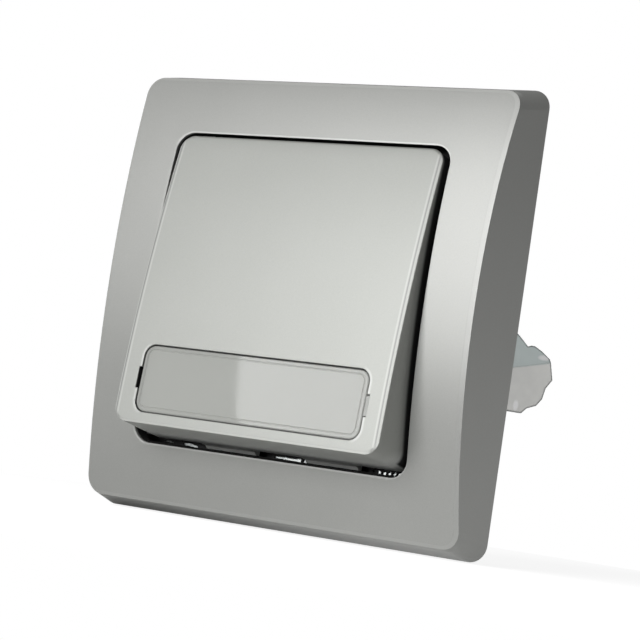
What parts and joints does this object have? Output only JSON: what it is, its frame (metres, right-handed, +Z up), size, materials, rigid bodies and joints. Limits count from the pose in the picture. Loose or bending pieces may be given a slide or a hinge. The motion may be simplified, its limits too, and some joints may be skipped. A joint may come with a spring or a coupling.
{
  "type": "flush wall bell push",
  "caption": "Square flush-mounted bell push with a sprung rocking key, a blank name window, a support ring and spreading claws behind.",
  "frame": {"origin": "centre of the cover frame's back, in the wall plane, midway between the two fixing slots", "axes": "+X to the viewer's right, +Z up the wall, -Y out of the wall towards the viewer"},
  "size_m": [0.08, 0.041, 0.08],
  "materials": {
    "frame_paint": "satin silver paint",
    "key_paint": "satin silver paint",
    "clear_lens": "clear moulding",
    "card": "blank card",
    "zinc_steel": "zinc plated",
    "base_plastic": "grey thermoplastic",
    "dark_plastic": "black thermoplastic",
    "toggle_plastic": "natural thermoplastic",
    "spring_steel": "bright spring wire",
    "contact_brass": "stamped strip",
    "contact_silver": "silver contact"
  },
  "bodies": {
    "housing": {"cover_frame": "frame_paint", "support_ring": "zinc_steel", "switch_base": "base_plastic", "bearing_cover": "dark_plastic", "cover_rivets": "contact_brass", "return_spring": "spring_steel", "fixed_contact_left": "contact_brass", "fixed_contact_right": "contact_brass", "fixed_contact_tips": "contact_silver", "claw_pins": "zinc_steel"},
    "key": {"push_key": "key_paint", "toggle": "toggle_plastic", "contact_bridge": "contact_brass", "bridge_contact_tips": "contact_silver"},
    "name_window": {"name_lens": "clear_lens", "name_card": "card"},
    "claw_left": {"claw_left": "zinc_steel"},
    "claw_screw_left": {"claw_screw_left": "zinc_steel"},
    "terminal_clamp_left": {"terminal_clamp_left": "zinc_steel"},
    "terminal_screw_left": {"terminal_screw_left": "zinc_steel"},
    "claw_right": {"claw_right": "zinc_steel"},
    "claw_screw_right": {"claw_screw_right": "zinc_steel"},
    "terminal_clamp_right": {"terminal_clamp_right": "zinc_steel"},
    "terminal_screw_right": {"terminal_screw_right": "zinc_steel"}
  },
  "joints": [
    {"name": "key_press", "type": "hinge", "parent": "housing", "child": "key", "pos_m": [0, -0.003, 0], "axis": [1, 0, 0], "range_deg": [0, 4], "stiffness_Nm_per_rad": 0.4, "springref_deg": -6.88, "deforming": ["return_spring"]},
    {"name": "lens_lift", "type": "slide", "parent": "key", "child": "name_window", "axis": [0, -0.9882, 0.153], "range_m": [0, 0.008]},
    {"name": "claw_screw_left_turn", "type": "hinge", "parent": "housing", "child": "claw_screw_left", "pos_m": [-0.0273, 0, 0.007], "axis": [0, 1, 0], "range_deg": [-1800, 720]},
    {"name": "claw_left_swing", "type": "hinge", "parent": "housing", "child": "claw_left", "pos_m": [-0.0223, 0.0032, 0.00655], "axis": [0, 0, 1], "range_deg": [-20, 8]},
    {"name": "terminal_screw_left_turn", "type": "hinge", "parent": "housing", "child": "terminal_screw_left", "pos_m": [-0.01, 0.0145, -0.018], "axis": [0, 0, 1], "range_deg": [0, 1080.05]},
    {"name": "terminal_clamp_left_lift", "type": "slide", "parent": "housing", "child": "terminal_clamp_left", "axis": [0, 0, -1], "range_m": [0, 0.0018]},
    {"name": "claw_screw_right_turn", "type": "hinge", "parent": "housing", "child": "claw_screw_right", "pos_m": [0.0273, 0, -0.007], "axis": [0, 1, 0], "range_deg": [-1800, 720]},
    {"name": "claw_right_swing", "type": "hinge", "parent": "housing", "child": "claw_right", "pos_m": [0.0223, 0.0032, -0.00655], "axis": [0, 0, -1], "range_deg": [-20, 8]},
    {"name": "terminal_screw_right_turn", "type": "hinge", "parent": "housing", "child": "terminal_screw_right", "pos_m": [0.01, 0.0145, -0.018], "axis": [0, 0, 1], "range_deg": [0, 1080.05]},
    {"name": "terminal_clamp_right_lift", "type": "slide", "parent": "housing", "child": "terminal_clamp_right", "axis": [0, 0, -1], "range_m": [0, 0.0018]}
  ],
  "couplings": [
    {"joint": "claw_left_swing", "follows": "claw_screw_left_turn", "ratio": 0.011111},
    {"joint": "terminal_screw_left_turn", "follows": "terminal_clamp_left_lift", "rad_per_m": 10472},
    {"joint": "claw_right_swing", "follows": "claw_screw_right_turn", "ratio": 0.011111},
    {"joint": "terminal_screw_right_turn", "follows": "terminal_clamp_right_lift", "rad_per_m": 10472}
  ]
}
